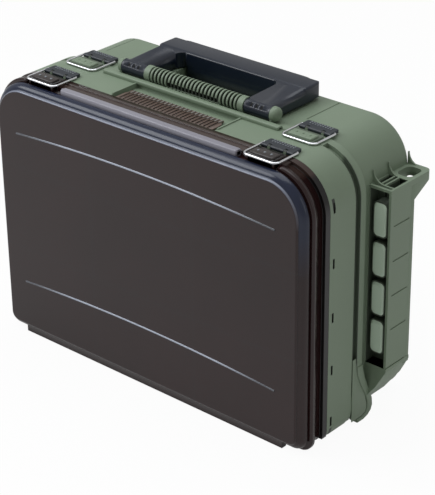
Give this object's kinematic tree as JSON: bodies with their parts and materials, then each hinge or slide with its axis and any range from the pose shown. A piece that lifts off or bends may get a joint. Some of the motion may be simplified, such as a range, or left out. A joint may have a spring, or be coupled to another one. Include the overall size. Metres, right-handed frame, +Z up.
{
  "type": "fishing tackle case",
  "caption": "Two-sided hard case on its long edge: smoke lid over a divided tray, tray over a deep tub, four wire draw latches, folding handle and side racks.",
  "frame": {"origin": "under the middle of the case, on the surface it stands on", "axes": "+X to the right along the case's width, +Y from the lid to the tub's back, +Z up"},
  "size_m": [0.48, 0.186, 0.3348],
  "materials": {
    "green_shell": "moulded, slight satin",
    "smoke_lid": "clear smoke plastic, polished",
    "dark_plastic": "satin",
    "lever_plastic": "fine grained",
    "bright_wire": "polished wire",
    "steel_pin": "drawn",
    "divider_plastic": "translucent grey sheet"
  },
  "bodies": {
    "tub": {"rear_shell": "green_shell", "handle_pins": "steel_pin", "shell_hinge_pins": "steel_pin", "rear_lever_pins": "steel_pin", "tub_shelf": "divider_plastic", "tub_upright_left": "divider_plastic", "tub_upright_right": "divider_plastic"},
    "tray": {"front_shell": "green_shell", "lid_hinge_pins": "steel_pin", "front_lever_pins": "steel_pin", "tray_shelf_lower": "divider_plastic", "tray_shelf_upper": "divider_plastic", "tray_upright_low_left": "divider_plastic", "tray_upright_low_right": "divider_plastic", "tray_upright_middle_left": "divider_plastic", "tray_upright_middle_right": "divider_plastic", "tray_upright_high_left": "divider_plastic", "tray_upright_high_right": "divider_plastic"},
    "lid": {"front_lid": "smoke_lid"},
    "carry_handle": {"handle": "dark_plastic"},
    "lever_front_left_body": {"lever_front_left": "lever_plastic"},
    "bail_front_left_body": {"bail_front_left": "bright_wire"},
    "lever_front_right_body": {"lever_front_right": "lever_plastic"},
    "bail_front_right_body": {"bail_front_right": "bright_wire"},
    "lever_rear_left_body": {"lever_rear_left": "lever_plastic"},
    "bail_rear_left_body": {"bail_rear_left": "bright_wire"},
    "lever_rear_right_body": {"lever_rear_right": "lever_plastic"},
    "bail_rear_right_body": {"bail_rear_right": "bright_wire"}
  },
  "joints": [
    {"name": "tray_hinge", "type": "hinge", "parent": "tub", "child": "tray", "pos_m": [0, -0.007, 0.0055], "axis": [1, 0, 0], "range_deg": [0, 100]},
    {"name": "lid_hinge", "type": "hinge", "parent": "tray", "child": "lid", "pos_m": [0, -0.05385, 0.0055], "axis": [1, 0, 0], "range_deg": [0, 100]},
    {"name": "handle_fold", "type": "hinge", "parent": "tub", "child": "carry_handle", "pos_m": [0, 0.002, 0.3245], "axis": [1, 0, 0], "range_deg": [0, 95]},
    {"name": "lever_front_left_lift", "type": "hinge", "parent": "tray", "child": "lever_front_left_body", "pos_m": [-0.154, -0.0512, 0.3175], "axis": [1, 0, 0], "range_deg": [0, 105]},
    {"name": "bail_front_left_swing", "type": "hinge", "parent": "lever_front_left_body", "child": "bail_front_left_body", "pos_m": [-0.154, -0.0457, 0.31785], "axis": [1, 0, 0], "range_deg": [-125, 0]},
    {"name": "lever_front_right_lift", "type": "hinge", "parent": "tray", "child": "lever_front_right_body", "pos_m": [0.154, -0.0512, 0.3175], "axis": [1, 0, 0], "range_deg": [0, 105]},
    {"name": "bail_front_right_swing", "type": "hinge", "parent": "lever_front_right_body", "child": "bail_front_right_body", "pos_m": [0.154, -0.0457, 0.31785], "axis": [1, 0, 0], "range_deg": [-125, 0]},
    {"name": "lever_rear_left_lift", "type": "hinge", "parent": "tub", "child": "lever_rear_left_body", "pos_m": [-0.154, 0.0085, 0.3175], "axis": [1, 0, 0], "range_deg": [0, 105]},
    {"name": "bail_rear_left_swing", "type": "hinge", "parent": "lever_rear_left_body", "child": "bail_rear_left_body", "pos_m": [-0.154, 0.014, 0.31785], "axis": [1, 0, 0], "range_deg": [-125, 0]},
    {"name": "lever_rear_right_lift", "type": "hinge", "parent": "tub", "child": "lever_rear_right_body", "pos_m": [0.154, 0.0085, 0.3175], "axis": [1, 0, 0], "range_deg": [0, 105]},
    {"name": "bail_rear_right_swing", "type": "hinge", "parent": "lever_rear_right_body", "child": "bail_rear_right_body", "pos_m": [0.154, 0.014, 0.31785], "axis": [1, 0, 0], "range_deg": [-125, 0]}
  ],
  "couplings": [
    {"joint": "bail_front_left_swing", "follows": "lever_front_left_lift", "ratio": -1.15},
    {"joint": "bail_front_right_swing", "follows": "lever_front_right_lift", "ratio": -1.15},
    {"joint": "bail_rear_left_swing", "follows": "lever_rear_left_lift", "ratio": -1.15},
    {"joint": "bail_rear_right_swing", "follows": "lever_rear_right_lift", "ratio": -1.15}
  ]
}
